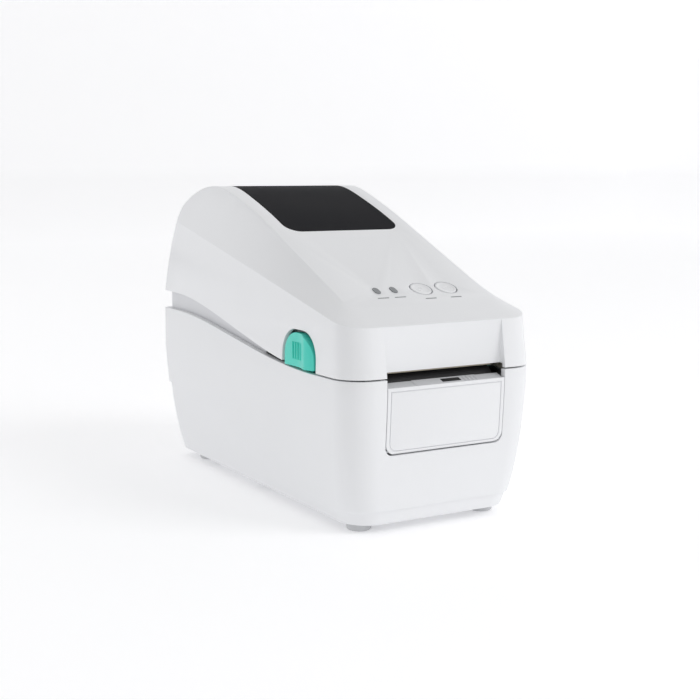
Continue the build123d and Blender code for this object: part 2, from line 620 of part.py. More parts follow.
def make_take_sensor_window():
    """Dark insert in the shelf, lying along its slope."""
    return above_door(shelf_strip(SHELF_FRONT + 1.2, SHELF_REAR - 1.2, 0.1, 0.7, -1.5, 9.0))


# ---- cover -------------------------------------------------------------------------------------
def window_outline(grow):
    half = WINDOW_HALF_WIDTH + grow
    corner = WINDOW_CORNER + grow
    face = outline(Plane((0, 0, 60)), half, WINDOW_FRONT - grow, WINDOW_REAR + grow, corner, corner)
    return extrude(face, 130)


def make_window():
    skin = (cover_block(0) - cover_block(WALL)) & window_outline(0)
    flange = (cover_block(WALL) - cover_block(WALL + 1.2)) & window_outline(2.5)
    return skin + flange


def make_top_cover():
    outer = cover_block(0)
    shell = outer - cover_block(WALL)
    half = DOOR_HALF_WIDTH + 0.5
    backing = block(-half - WALL, half + WALL, FRONT - 5, FRONT + 6.9, MOUTH_TOP, SHOULDER_Z + 1.5)
    shell += backing & outer
    recess = [(FRONT - 6, SHOULDER_Z - 0.3), (SHOULDER_Y + 0.2, SHOULDER_Z - 0.3),
              (FRONT + MOUTH_RECESS, MOUTH_TOP - 1), (FRONT - 6, MOUTH_TOP - 1)]
    shell -= side_prism(recess, -half, half)
    shell -= block(-half, half, FRONT - 5, FRONT + 12, 0, MOUTH_TOP)
    shell -= below_curve(cover_edge(), 0)
    shell -= window_outline(0.1)
    arm = side_prism([(HINGE_Y - 4.9, HINGE_Z), (HINGE_Y - 4.9, HINGE_Z + 13), (HINGE_Y - 2, HINGE_Z + 32),
                      (REAR, HINGE_Z + 32), (REAR, HINGE_Z + 6), (HINGE_Y + 4.9, HINGE_Z + 2),
                      (HINGE_Y + 4.9, HINGE_Z)], HINGE_ARM_X[0], HINGE_ARM_X[1]) & cover_block(WALL / 2)
    arm += rod_x(HINGE_ARM_X[0], HINGE_ARM_X[1], HINGE_Y, HINGE_Z, 4.9)
    arm -= rod_x(0, 60, HINGE_Y, HINGE_Z, HINGE_PIN_RADIUS + RUNNING)
    shell += mirrored(arm)
    shell -= mirrored(lever_arch(ARCH_GAP))
    for x in BUTTONS_X.values():
        shell -= on_top(x, BUTTON_Y, 0) * Cylinder(BUTTON_DIAMETER / 2 + 0.35, 20)
    for x in LAMPS_X:
        hole = SlotOverall(LAMP_LENGTH + 0.1, LAMP_WIDTH + 0.1, rotation=90)
        shell -= on_top(x, BUTTON_Y, 0) * extrude(hole, 10, both=True)
    return shell


def lever_arch(gap):
    """Side outline of a lever or, with a gap, of its cut-out in the cover."""
    front = LEVER_Y - LEVER_HALF_LENGTH - gap
    rear = LEVER_Y + LEVER_HALF_LENGTH + gap
    top = LEVER_TOP if gap == 0 else ARCH_TOP
    base = LEVER_BOTTOM if gap == 0 else LEVER_BOTTOM - 20
    face = make_face(Polyline((front, base), (rear, base), (rear, top), (front, top), close=True))
    upper = [v for v in face.vertices() if v.Y > top - 1 and abs(v.X) > 1]
    face = fillet(upper, 11.0 + gap * 0.7)
    return Pos(LEVER_X_IN - 2, 0, 0) * extrude(Plane.YZ * face, 12)


def make_lever(side):
    """Pull tab on one side with its arm and hook; +X side for side=1."""
    tab = lever_arch(0) & block(LEVER_X_IN - 1, HALF_WIDTH + 1.6, -WIDTH, WIDTH, 0, 120)
    scoop_front = LEVER_Y - 2.0
    tab -= block(HALF_WIDTH - 0.2, HALF_WIDTH + 4, scoop_front, LEVER_Y + 20, LEVER_BOTTOM - 1, LEVER_TOP + 1)
    for k in range(4):
        y = LEVER_Y + 0.6 + 2.6 * k
        tab += block(HALF_WIDTH - 0.3, HALF_WIDTH + 0.5, y, y + 1.1, LEVER_BOTTOM + 3, LEVER_TOP - 6)
    arm = side_prism([(LATCH_Y - 5, LATCH_Z - 1), (LATCH_Y + 5, LATCH_Z - 1), (LEVER_Y + 9, LEVER_BOTTOM + 6),
                      (LEVER_Y - 9, LEVER_BOTTOM + 6)], LEVER_X_IN - 2.6, LEVER_X_IN - 0.9)
    arm += rod_x(LEVER_X_IN - 5.4, LEVER_X_IN - 0.9, LATCH_Y, LATCH_Z, 5.0)
    hook = side_prism([(LATCH_Y - 4, LATCH_Z), (LATCH_Y + 4, LATCH_Z), (LATCH_Y + 1, STRIKER_Z - 3),
                       (LATCH_Y + 1, STRIKER_Z + 2.2), (STRIKER_Y - STRIKER_RADIUS - 0.5, STRIKER_Z + 2.6),
                       (LATCH_Y + 2, STRIKER_Z + 6), (LATCH_Y - 4, STRIKER_Z + 6)],
                      LEVER_X_IN - 5.4, LEVER_X_IN - 2.5)
    lever = tab + arm + hook - rod_x(0, 60, LATCH_Y, LATCH_Z, LATCH_SHAFT_RADIUS)
    return lever if side > 0 else mirror(lever, Plane.YZ)


def make_latch_shaft():
    return rod_x(-LEVER_X_IN + 1.0, LEVER_X_IN - 1.0, LATCH_Y, LATCH_Z, LATCH_SHAFT_RADIUS)


def make_bushings():
    ring = rod_x(FRAME_X, FRAME_X + FRAME_T + 1.2, LATCH_Y, LATCH_Z, LATCH_SHAFT_RADIUS + 1.2)
    ring -= rod_x(FRAME_X - 3, FRAME_X + 4, LATCH_Y, LATCH_Z, LATCH_SHAFT_RADIUS + RUNNING)
    return [ring, mirror(ring, Plane.YZ)]


def make_inner_frame():
    plate = block(-45, 45, FRONT + 9, FRONT + 82, FRAME_TOP_Z, FRAME_TOP_Z + 2)
    web = block(42.6, 45, STRIKER_Y - 5, STRIKER_Y + 6, STRIKER_Z - 3, FRAME_TOP_Z + 0.5)
    web += block(42.6, 45, FRONT + 12, FRONT + 82, FRAME_TOP_Z + 1, FRAME_TOP_Z + 5)
    plate += mirrored(web)
    inside = cover_block(WALL)
    for x, y in ((34, FRONT + 72), (30, FRONT + 20.5)):
        plate += mirrored(rod_z(FRAME_TOP_Z + 1, 140, x, y, 3.0)) & inside
    rod_hole = rod_x(42, 46, STRIKER_Y, STRIKER_Z, STRIKER_RADIUS)
    return plate - mirrored(rod_hole)


def make_strikers():
    rod = rod_x(42.6, LEVER_X_IN - 3.0, STRIKER_Y, STRIKER_Z, STRIKER_RADIUS)
    return [rod, mirror(rod, Plane.YZ)]


def make_printhead():
    head = block(-31, 31, PLATEN_Y - 5.5, PLATEN_Y + 12, HEAD_Z, HEAD_Z + 1.6)
    head += block(-28, 28, PLATEN_Y + 13, PLATEN_Y + 18, HEAD_Z - 1.0, HEAD_Z + 1.6)
    return head + block(-28, 28, PLATEN_Y + 11, PLATEN_Y + 14, HEAD_Z + 0.4, HEAD_Z + 1.6)


def make_heat_sink():
    sink = block(-32, 32, PLATEN_Y - 5.5, PLATEN_Y + 18, HEAD_Z + 1.6, HEAD_Z + 7.0)
    for k in range(9):
        x = -28 + 7 * k
        sink -= block(x - 2, x + 2, PLATEN_Y - 1, PLATEN_Y + 19, HEAD_Z + 4.0, HEAD_Z + 8)
    return sink


def make_head_bracket():
    low = HEAD_Z + 7.0
    bracket = block(-34, 34, PLATEN_Y - 5.0, PLATEN_Y + 22, low, low + 1.2)
    side = block(33, 34.2, PLATEN_Y - 3, PLATEN_Y + 20, low, FRAME_TOP_Z)
    return bracket + mirrored(side)


def make_head_springs():
    low = HEAD_Z + 8.2
    return [spring(x, PLATEN_Y + 6, low, FRAME_TOP_Z - low) for x in (-18, 0, 18)]


def spring(x, y, z, height):
    wire = 0.35
    path = Helix(pitch=1.2, height=height - 2 * wire, radius=2.4)
    coil = sweep(Plane(origin=path @ 0, z_dir=path % 0) * Circle(wire), path=path, is_frenet=True)
    return Pos(x, y, z + wire) * coil


def make_control_board():
    return on_top(1.0, BUTTON_Y + 1, BOARD_DROP) * Pos(0, 0, -0.8) * Box(62, 22, 1.6)


def make_switches():
    switches = []
    for x in BUTTONS_X.values():
        place = on_top(x, BUTTON_Y, BOARD_DROP)
        body = place * Pos(0, 0, 1.7) * Box(6, 6, 3.4)
        switches.append(body + place * Pos(0, 0, 3.9) * Cylinder(1.6, 1.0))
    return switches


def make_button(x):
    cap = on_top(x, BUTTON_Y, 1.2) * Cylinder(BUTTON_DIAMETER / 2, 3.4)
    cap = fillet(cap.faces().sort_by(Axis.Z)[-1].edges(), 0.5)
    flange = on_top(x, BUTTON_Y, WALL + 0.75) * Cylinder(BUTTON_DIAMETER / 2 + 1.3, 0.8)
    return cap + flange


def make_lamps():
    lamps = []
    for x in LAMPS_X:
        body = extrude(SlotOverall(LAMP_LENGTH, LAMP_WIDTH, rotation=90), 4.0)
        lens = on_top(x, BUTTON_Y, WALL + 1.4) * body
        flange = extrude(SlotOverall(LAMP_LENGTH + 2, LAMP_WIDTH + 2, rotation=90), 1.2)
        lamps.append(lens + on_top(x, BUTTON_Y, WALL + 1.4) * flange)
    return lamps


def make_lamp_chips():
    return [on_top(x, BUTTON_Y, BOARD_DROP) * Pos(0, 0, 1.0) * Box(2.4, 3.0, 2.0) for x in LAMPS_X]


# ---- electronics and rear panel -------------------------------------------------------------
def make_main_board():
    board = block(-35, 35, 8, 92, BOARD_Z, BOARD_Z + BOARD_THICKNESS)
    for x, y in BOARD_POSTS:
        board -= rod_z(BOARD_Z - 1, BOARD_Z + 3, x, y, 1.4)
    return board


def make_board_parts():
    deck = BOARD_Z + BOARD_THICKNESS
    sizes = [(-14, 4, 30, 48, 1.6), (10, 22, 34, 44, 1.4), (-30, -20, 24, 40, 8.0), (16, 32, 14, 20, 6.0),
             (-8, 10, 14, 20, 6.0), (14, 20, 56, 62, 3.0), (-12, -2, 58, 66, 1.2)]
    parts = [block(x0, x1, y0, y1, deck, deck + h) for x0, x1, y0, y1, h in sizes]
    for x, y in ((26, 60), (-26, 54), (-18, 66)):
        parts.append(rod_z(deck, deck + 11, x, y, 3.2))
    return parts


def make_usb_socket():
    deck = BOARD_Z + BOARD_THICKNESS
    body = block(-32.2, -19.8, PANEL_Y - 17, PANEL_Y + 0.6, deck, deck + 11.2)
    body -= block(-30.6, -21.4, PANEL_Y - 9, PANEL_Y + 1, deck + 1.5, deck + 9.7)
    return body + block(-28.6, -23.4, PANEL_Y - 10, PANEL_Y - 4.8, deck + 4.0, deck + 7.0)


def make_power_socket():
    deck = BOARD_Z + BOARD_THICKNESS
    body = block(-8.2, 4.2, PANEL_Y - 15, PANEL_Y + 0.6, deck, deck + 11.2)
    body -= rod_y(PANEL_Y - 10, PANEL_Y + 1, -2, deck + 5.6, 3.9)
    return body + rod_y(PANEL_Y - 11, PANEL_Y - 1, -2, deck + 5.6, 1.1)


def make_switch_body():
    body = block(SWITCH_X - 9.8, SWITCH_X + 9.8, PANEL_Y - 12, PANEL_Y, 15.2, 29.3)
    body += block(SWITCH_X - 11, SWITCH_X + 11, PANEL_Y, PANEL_Y + 1.4, 14.0, 30.5)
    return body - block(SWITCH_X - 7.7, SWITCH_X + 7.7, PANEL_Y - 6, PANEL_Y + 2, SWITCH_Z - 5, SWITCH_Z + 5)


def make_rocker():
    face = make_face(Polyline((-7, -1.5), (7, -1.5), (7, 3.2), (0, 2.0), (-7, 3.2), close=True))
    rocker = extrude(face, 4.7, both=True)
    pin = Cylinder(0.9, 9.9)
    return Pos(SWITCH_X, ROCKER_Y, SWITCH_Z) * Rot(0, 0, -8) * (rocker + pin)


def make_housing_screws():
    screws = []
    for x, y in POSTS + FRAME_POSTS:
        screws.append(rod_z(FOOT_HEIGHT + 0.1, FOOT_HEIGHT + 1.2, x, y, 3.0)
                      + rod_z(FOOT_HEIGHT + 1, FOOT_HEIGHT + 14, x, y, 1.25))
    return screws


def make_paper_guide():
    plate = block(-35, 35, FRONT + 27, BAY_FRONT - 4, 70, 72)
    plate = chamfer(plate.edges().group_by(Axis.Z)[-1].filter_by(Axis.X), 1.0)
    for y in (FRONT + 40, FRONT + 60, FRONT + 80):
        plate += block(-33, 33, y, y + 2, 66, 70.5)
    return plate - block(-8, 12, SENSOR_Y - 3.2, SENSOR_Y + 3.2, 69, 73)


def make_gap_sensor():
    return block(-7.8, 11.8, SENSOR_Y - 3, SENSOR_Y + 3, 66, 72)


def make_latch_spring():
    y = LATCH_Y
    path = Helix(pitch=1.6, height=14, radius=LATCH_SHAFT_RADIUS + 1.0)
    coil = sweep(Plane(origin=path @ 0, z_dir=path % 0) * Circle(0.4), path=path, is_frenet=True)
    return Pos(-20, y, LATCH_Z) * Rot(0, 90, 0) * coil


def make_hinge_pins():
    pin = rod_x(HINGE_ARM_X[0] - 3.0, HINGE_ARM_X[1] + 3.0, HINGE_Y, HINGE_Z, HINGE_PIN_RADIUS)
    return [pin, mirror(pin, Plane.YZ)]


# ---- write every piece -------------------------------------------------------------------------
os.makedirs("parts", exist_ok=True)
idler_y, idler_z = gear_centre(IDLER_DISTANCE)
motor_y, motor_z = gear_centre(PINION_DISTANCE)
# A tooth of the platen gear and of the pinion points along the gear line into a gap of the idler.
idler_phase = GEAR_LINE_ANGLE + 180 / IDLER_TEETH
platen_gear = gear_on_x(PLATEN_TEETH, PLATEN_Y, PLATEN_Z, SHAFT_RADIUS, GEAR_LINE_ANGLE)
left_guide = make_media_guide()
left_hub = make_roll_hub()
pieces = {
    "base_casing": make_base_casing,
    "base_plate": make_base_plate,
    "rubber_feet": make_feet,
    "housing_screws": make_housing_screws,
    "media_tub": make_media_tub,
    "media_guide_left": lambda: left_guide,
    "media_guide_right": lambda: turned_about_track(left_guide),
    "roll_hub_left": lambda: left_hub,
    "roll_hub_right": lambda: turned_about_track(left_hub),
    "guide_pinion": make_guide_pinion,
    "track_cover": make_track_cover,
    "track_screws": make_track_screws,
    "print_frame": make_print_frame,
    "platen_roller": make_platen,
    "platen_shaft": make_platen_shaft,
    "platen_bearings": make_bearings,
    "platen_gear": lambda: platen_gear,
    "idler_gear": lambda: gear_on_x(IDLER_TEETH, idler_y, idler_z, 2.0 + RUNNING, idler_phase),
    "motor_pinion": lambda: gear_on_x(PINION_TEETH, motor_y, motor_z, MOTOR_SHAFT_RADIUS, GEAR_LINE_ANGLE),
    "stepper_motor": make_motor,
    "motor_shaft": make_motor_shaft,
    "motor_screws": make_motor_screws,
    "paper_guide": make_paper_guide,
    "gap_sensor": make_gap_sensor,
    "front_door": make_front_door,
    "door_pins": make_door_pins,
    "exit_shelf": make_exit_shelf,
    "take_sensor_window": make_take_sensor_window,
    "top_cover": make_top_cover,
    "window": make_window,
    "cover_inner_frame": make_inner_frame,
    "printhead": make_printhead,
    "heat_sink": make_heat_sink,
    "head_bracket": make_head_bracket,
    "head_springs": make_head_springs,
    "control_board": make_control_board,
    "tact_switches": make_switches,
    "lamp_lenses": make_lamps,
    "lamp_chips": make_lamp_chips,
    "latch_lever_left": lambda: make_lever(-1),
    "latch_lever_right": lambda: make_lever(1),
    "latch_shaft": make_latch_shaft,
    "latch_bushings": make_bushings,
    "latch_spring": make_latch_spring,
    "latch_strikers": make_strikers,
    "hinge_pins": make_hinge_pins,
    "main_board": make_main_board,
    "board_parts": make_board_parts,
    "usb_socket": make_usb_socket,
    "power_socket": make_power_socket,
    "power_switch": make_switch_body,
    "power_rocker": make_rocker,
}
for button, x in BUTTONS_X.items():
    pieces[button] = lambda x=x: make_button(x)
for name, maker in pieces.items():
    save(name, maker())
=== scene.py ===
from math import atan, pi, radians, sin

import bpy
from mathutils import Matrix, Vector


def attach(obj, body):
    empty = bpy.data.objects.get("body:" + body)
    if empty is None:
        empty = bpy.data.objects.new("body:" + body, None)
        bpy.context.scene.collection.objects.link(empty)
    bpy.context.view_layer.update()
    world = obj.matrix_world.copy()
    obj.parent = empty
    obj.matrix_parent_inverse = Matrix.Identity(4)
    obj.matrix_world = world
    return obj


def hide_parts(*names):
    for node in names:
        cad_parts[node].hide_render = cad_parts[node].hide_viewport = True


bl_info = {
    "name": "Label Printer Finish",
    "version": (1, 0, 0),
    "blender": (4, 5, 0),
    "location": "View3D > Sidebar > Label Printer",
    "description": "Finishes the pieces of a desktop label printer and sets up its studio",
    "category": "Object",
}

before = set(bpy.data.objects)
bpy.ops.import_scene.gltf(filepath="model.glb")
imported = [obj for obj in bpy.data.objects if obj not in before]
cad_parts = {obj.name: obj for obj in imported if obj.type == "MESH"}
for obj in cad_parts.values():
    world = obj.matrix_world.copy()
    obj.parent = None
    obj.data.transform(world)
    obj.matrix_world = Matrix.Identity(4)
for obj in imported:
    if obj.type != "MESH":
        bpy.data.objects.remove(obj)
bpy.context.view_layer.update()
MM = 0.001

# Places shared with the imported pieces.
HALF_WIDTH = 54.0 * MM
TOP_SLOPE = 0.43           # rise of the cover's sloping top
BROW_Y = -92.0 * MM
BROW_Z = 105.2 * MM
BUTTON_Y = -77.0 * MM
BUTTONS = {"feed": 6.5 * MM, "pause": 21.2 * MM}
LAMPS_X = (-19.1 * MM, -9.5 * MM)
LEVER_Y = -62.7 * MM       # middle of each pull lever
LEVER_HALF = 14.0 * MM
LEVER_LOW = 75.8 * MM
LEVER_TOP = 92.0 * MM
LEVER_IN = 49.6 * MM       # inner face of the pull tabs

# Pull tabs.
CREST_FORWARD = 7.5 * MM   # crest of the tab, in front of its middle
TAB_OUT = 1.5 * MM         # how far the crest stands out past the side
ARCH_RADIUS = 11.5 * MM
TAB_CUTS = 27
RIB_PITCH = 2.5 * MM
RIB_COUNT = 4

# Printed marks, as distances in front of the buttons' row.
LAMP_MARK_FORWARD = 6.4 * MM
BUTTON_MARK_FORWARD = 9.0 * MM

# Studio.
FLOOR_SIZE = 7.0
WALL_HEIGHT = 4.0
SWEEP_RADIUS = 1.2
LIGHT_AIM = (0, 0, 0.07)
LIGHTS = (                 # name, place, size and power
    ("key_light", (0.9, -1.3, 1.2), 0.9, 9.0),
    ("rear_light", (-1.3, 1.1, 0.5), 0.9, 3.0),
)
CAMERA_PLACE = (-0.3343, -0.5861, 0.1690)
CAMERA_AIM = (0, 0, 0.085)
CAMERA_LENS = 64.44
CAMERA_SHIFT = (0.0264, -0.0333)

# Sockets of the colour mix node, which share one name and so go by number.
MIX_FACTOR = 0
MIX_LOW = 6
MIX_HIGH = 7
MIX_RESULT = 2

# Fine rings on the ground platen.
RING_PITCH = 0.8 * MM
FULL_TURN = 6.28


# ---- colours and materials -----------------------------------------------------------------
def linear(hex_colour):
    """Linear RGBA of an sRGB hex colour."""
    channels = [int(hex_colour[k:k + 2], 16) / 255 for k in (0, 2, 4)]
    return [c / 12.92 if c <= 0.04045 else ((c + 0.055) / 1.055) ** 2.4 for c in channels] + [1.0]


def add_node(tree, kind, settings=None, links=None):
    """Adds a node, sets its properties and sockets, and links its inputs."""
    node = tree.nodes.new(kind)
    for key, value in (settings or {}).items():
        if key in node.inputs:
            node.inputs[key].default_value = value
        else:
            setattr(node, key, value)
    for key, socket in (links or {}).items():
        tree.links.new(socket, node.inputs[key])
    return node


def new_material(name, **shader_settings):
    """Empty node material with a Principled shader wired to its output."""
    material = bpy.data.materials.new(name)
    material.use_nodes = True
    tree = material.node_tree
    tree.nodes.clear()
    shader = add_node(tree, "ShaderNodeBsdfPrincipled", shader_settings)
    add_node(tree, "ShaderNodeOutputMaterial", links={"Surface": shader.outputs["BSDF"]})
    return material, tree, shader


def shade(colour, share):
    """A colour made lighter or darker by one factor."""
    return [min(1.0, channel * share) for channel in colour[:3]] + [1.0]


def grain(tree, shader, grain_mm, height_mm, strength, colour, colour_shift, patch_mm=40.0):
    """Fine moulded grain as bump, with a slow drift of colour and gloss over the piece.

    Real tool grain is finer than the sizes given, and is drawn as coarse as it needs to show.
    """
    place = add_node(tree, "ShaderNodeTexCoord").outputs["Object"]
    fine = add_node(tree, "ShaderNodeTexNoise",
                    {"Scale": 1 / (grain_mm * MM), "Detail": 2.0, "Roughness": 0.6}, {"Vector": place})
    bump = add_node(tree, "ShaderNodeBump", {"Strength": strength, "Distance": height_mm * MM},
                    {"Height": fine.outputs["Fac"]})
    tree.links.new(bump.outputs["Normal"], shader.inputs["Normal"])
    patch = add_node(tree, "ShaderNodeTexNoise",
                     {"Scale": 1 / (patch_mm * MM), "Detail": 3.0}, {"Vector": place})
    tint = add_node(tree, "ShaderNodeMix", {"data_type": "RGBA"}, {MIX_FACTOR: patch.outputs["Fac"]})
    tint.inputs[MIX_LOW].default_value = shade(colour, 1 - colour_shift * 3)
    tint.inputs[MIX_HIGH].default_value = shade(colour, 1 + colour_shift)
    tree.links.new(tint.outputs[MIX_RESULT], shader.inputs["Base Color"])
    rough = shader.inputs["Roughness"].default_value
    gloss = add_node(tree, "ShaderNodeMapRange", {"To Min": rough - 0.04, "To Max": rough + 0.05},
                     {"Value": patch.outputs["Fac"]})
    tree.links.new(gloss.outputs["Result"], shader.inputs["Roughness"])


def shell_abs(colour):
    """ABS moulded in a spark-eroded tool: near white, soft sheen, a grain you feel more than see."""
    material, tree, shader = new_material("abs_shell_spark_texture", Roughness=0.42, IOR=1.53)
    grain(tree, shader, 0.6, 0.012, 0.6, colour, 0.006)
    return material


def inner_abs(colour):
    """ABS from a plain tool: the same white plastic as the shell, flatter, with its colour set slightly
    greyer as painted shade for walls that sit back in the gaps between the shells.
    """
    material, tree, shader = new_material("abs_inner_painted_shade", Roughness=0.5, IOR=1.53)
    grain(tree, shader, 1.2, 0.01, 0.5, colour, 0.01)
    return material


def cap_abs(colour):
    """ABS with a polished face, as on push-button caps."""
    material, tree, shader = new_material("abs_button_satin", Roughness=0.28, IOR=1.53)
    grain(tree, shader, 0.5, 0.003, 0.4, colour, 0.006, 12.0)
    return material


def smoked_acrylic(colour):
    """Acrylic, smoked in the mass: near black with a soft, dull sheen."""
    material, tree, shader = new_material("acrylic_smoked_polished", Roughness=0.55, IOR=1.49)
    shader.inputs["Specular IOR Level"].default_value = 0.03
    grain(tree, shader, 9.0, 0.02, 0.25, colour, 0.04, 60.0)
    return material


def lever_pp(colour):
    """Polypropylene coloured in the mass, satin, with a waxy highlight."""
    material, tree, shader = new_material("polypropylene_teal_satin", Roughness=0.35, IOR=1.49)
    shader.inputs["Subsurface Weight"].default_value = 0.08
    shader.inputs["Subsurface Radius"].default_value = (0.002, 0.004, 0.003)
    shader.inputs["Subsurface Scale"].default_value = 0.3
    grain(tree, shader, 0.5, 0.004, 0.5, colour, 0.015, 10.0)
    return material


def grey_pp(colour):
    """Polypropylene, mid grey, matt from the tool."""
    material, tree, shader = new_material("polypropylene_grey_matt", Roughness=0.48, IOR=1.49)
    grain(tree, shader, 0.6, 0.01, 0.6, colour, 0.02, 15.0)
    return material


def black_nylon(colour):
    """Glass-filled nylon: black with a slightly dry, speckled surface."""
    material, tree, shader = new_material("nylon_black_glass_filled", Roughness=0.5, IOR=1.53)
    grain(tree, shader, 0.35, 0.012, 0.8, colour, 0.06, 4.0)
    return material


def acetal(colour):
    """Acetal gears: natural creamy white, slippery sheen."""
    material, tree, shader = new_material("acetal_natural", Roughness=0.33, IOR=1.48)
    shader.inputs["Subsurface Weight"].default_value = 0.1
    shader.inputs["Subsurface Radius"].default_value = (0.003, 0.003, 0.002)
    shader.inputs["Subsurface Scale"].default_value = 0.3
    grain(tree, shader, 0.8, 0.005, 0.5, colour, 0.02, 8.0)
    return material


def soft_rubber(colour):
    """Moulded rubber, light grey and dull, for the feet."""
    material, tree, shader = new_material("rubber_grey_moulded", Roughness=0.75, IOR=1.52)
    grain(tree, shader, 0.4, 0.02, 0.8, colour, 0.04, 5.0)
    return material


def ground_rubber(colour):
    """Silicone rubber ground to size: dark, with fine rings left by the wheel."""
    material, tree, shader = new_material("rubber_black_ground", Roughness=0.62, IOR=1.43)
    place = add_node(tree, "ShaderNodeTexCoord").outputs["Object"]
    rings = add_node(tree, "ShaderNodeTexWave",
                     {"wave_type": "BANDS", "bands_direction": "X",
                      "Scale": 1 / RING_PITCH / FULL_TURN, "Distortion": 1.5, "Detail": 2.0},
                     {"Vector": place})
    bump = add_node(tree, "ShaderNodeBump", {"Strength": 0.4, "Distance": 0.01 * MM},
                    {"Height": rings.outputs["Fac"]})
    tree.links.new(bump.outputs["Normal"], shader.inputs["Normal"])
    speck = add_node(tree, "ShaderNodeTexNoise", {"Scale": 1 / (1.5 * MM)}, {"Vector": place})
    tint = add_node(tree, "ShaderNodeMix", {"data_type": "RGBA"}, {MIX_FACTOR: speck.outputs["Fac"]})
    tint.inputs[MIX_LOW].default_value = colour
    tint.inputs[MIX_HIGH].default_value = shade(colour, 1.8)
    tree.links.new(tint.outputs[MIX_RESULT], shader.inputs["Base Color"])
    return material


def plated_steel(colour):
    """Zinc-plated steel: bright grey, faint drawn lines along the sheet."""
    material, tree, shader = new_material("steel_zinc_plated", Metallic=1.0, Roughness=0.34)
    place = add_node(tree, "ShaderNodeTexCoord").outputs["Object"]
    stretch = add_node(tree, "ShaderNodeMapping", {"Scale": (1.0, 0.06, 1.0)}, {"Vector": place})
    lines = add_node(tree, "ShaderNodeTexNoise", {"Scale": 1 / (0.5 * MM), "Detail": 3.0},
                     {"Vector": stretch.outputs["Vector"]})
    gloss = add_node(tree, "ShaderNodeMapRange", {"To Min": 0.26, "To Max": 0.44},
                     {"Value": lines.outputs["Fac"]})
    tree.links.new(gloss.outputs["Result"], shader.inputs["Roughness"])
    tint = add_node(tree, "ShaderNodeMix", {"data_type": "RGBA"}, {MIX_FACTOR: lines.outputs["Fac"]})
    tint.inputs[MIX_LOW].default_value = shade(colour, 0.88)
    tint.inputs[MIX_HIGH].default_value = colour
    tree.links.new(tint.outputs[MIX_RESULT], shader.inputs["Base Color"])
    bump = add_node(tree, "ShaderNodeBump", {"Strength": 0.3, "Distance": 0.005 * MM},
                    {"Height": lines.outputs["Fac"]})
    tree.links.new(bump.outputs["Normal"], shader.inputs["Normal"])
    return material


def extruded_aluminium(colour):
    """Aluminium from an extrusion die: pale, with long fine die lines across the fins."""
    material, tree, shader = new_material("aluminium_extruded", Metallic=1.0, Roughness=0.38)
    place = add_node(tree, "ShaderNodeTexCoord").outputs["Object"]
    stretch = add_node(tree, "ShaderNodeMapping", {"Scale": (0.05, 1.0, 1.0)}, {"Vector": place})
    lines = add_node(tree, "ShaderNodeTexNoise", {"Scale": 1 / (0.6 * MM), "Detail": 2.0},
                     {"Vector": stretch.outputs["Vector"]})
    tint = add_node(tree, "ShaderNodeMix", {"data_type": "RGBA"}, {MIX_FACTOR: lines.outputs["Fac"]})
    tint.inputs[MIX_LOW].default_value = shade(colour, 0.9)
    tint.inputs[MIX_HIGH].default_value = colour
    tree.links.new(tint.outputs[MIX_RESULT], shader.inputs["Base Color"])
    bump = add_node(tree, "ShaderNodeBump", {"Strength": 0.3, "Distance": 0.006 * MM},
                    {"Height": lines.outputs["Fac"]})
    tree.links.new(bump.outputs["Normal"], shader.inputs["Normal"])
    return material


def painted_steel(colour):
    """Sheet steel with baked black enamel, as on a small motor's case."""
    material, tree, shader = new_material("enamel_black_baked", Roughness=0.36, IOR=1.5)
    grain(tree, shader, 2.0, 0.02, 0.5, colour, 0.05, 12.0)
    return material


def glazed_ceramic(colour):
    """Alumina plate with a glass glaze: smooth, warm grey, mottled under the gloss."""
    material, tree, shader = new_material("alumina_glazed", Roughness=0.12, IOR=1.6)
    grain(tree, shader, 4.0, 0.004, 0.4, colour, 0.06, 3.0)
    return material


def solder_mask(colour):
    """Circuit board: green mask over copper tracks, which show as slightly lighter lines."""
    material, tree, shader = new_material("solder_mask_green", Roughness=0.3, IOR=1.55)
    place = add_node(tree, "ShaderNodeTexCoord").outputs["Object"]
    tracks = add_node(tree, "ShaderNodeTexBrick",
                      {"Scale": 1 / (22 * MM), "Mortar Size": 0.03, "Mortar Smooth": 0.2,
                       "offset": 0.37, "squash": 0.6}, {"Vector": place})
    tracks.inputs["Color1"].default_value = colour
    tracks.inputs["Color2"].default_value = shade(colour, 1.15)
    tracks.inputs["Mortar"].default_value = shade(colour, 2.2)
    tree.links.new(tracks.outputs["Color"], shader.inputs["Base Color"])
    bump = add_node(tree, "ShaderNodeBump", {"Strength": 0.3, "Distance": 0.03 * MM},
                    {"Height": tracks.outputs["Fac"]})
    tree.links.new(bump.outputs["Normal"], shader.inputs["Normal"])
    return material


def lamp_lens(colour):
    """Polycarbonate light guide, grey while unlit, frosted inside."""
    material, tree, shader = new_material("polycarbonate_frosted", Roughness=0.3, IOR=1.58)
    grain(tree, shader, 0.5, 0.004, 0.4, colour, 0.03, 2.0)
    return material


def printed_ink(colour):
    """Pad-printed ink: flat grey with a slightly uneven film."""
    material, tree, shader = new_material("ink_grey_pad_printed", Roughness=0.6, IOR=1.5)
    grain(tree, shader, 0.3, 0.004, 0.5, colour, 0.05, 1.0)
    return material


def studio_floor(colour):
    """Matt paper sweep lit through from behind, so that it stays white up to the top."""
    material, tree, shader = new_material("paper_sweep_matt", Roughness=0.8, IOR=1.4)
    shader.inputs["Emission Color"].default_value = colour
    shader.inputs["Emission Strength"].default_value = 0.28
    grain(tree, shader, 3.0, 0.02, 0.3, colour, 0.003, 200.0)
    return material


# ---- what a user can change ------------------------------------------------------------------
def colour_setting(name, description, hex_colour):
    return bpy.props.FloatVectorProperty(name=name, description=description, default=linear(hex_colour),
                                         size=4, min=0.0, max=1.0, subtype="COLOR")


def length_setting(name, description, millimetres):
    return bpy.props.FloatProperty(name=name, description=description, default=millimetres * MM, min=0.0,
                                   precision=5, subtype="DISTANCE", unit="LENGTH")


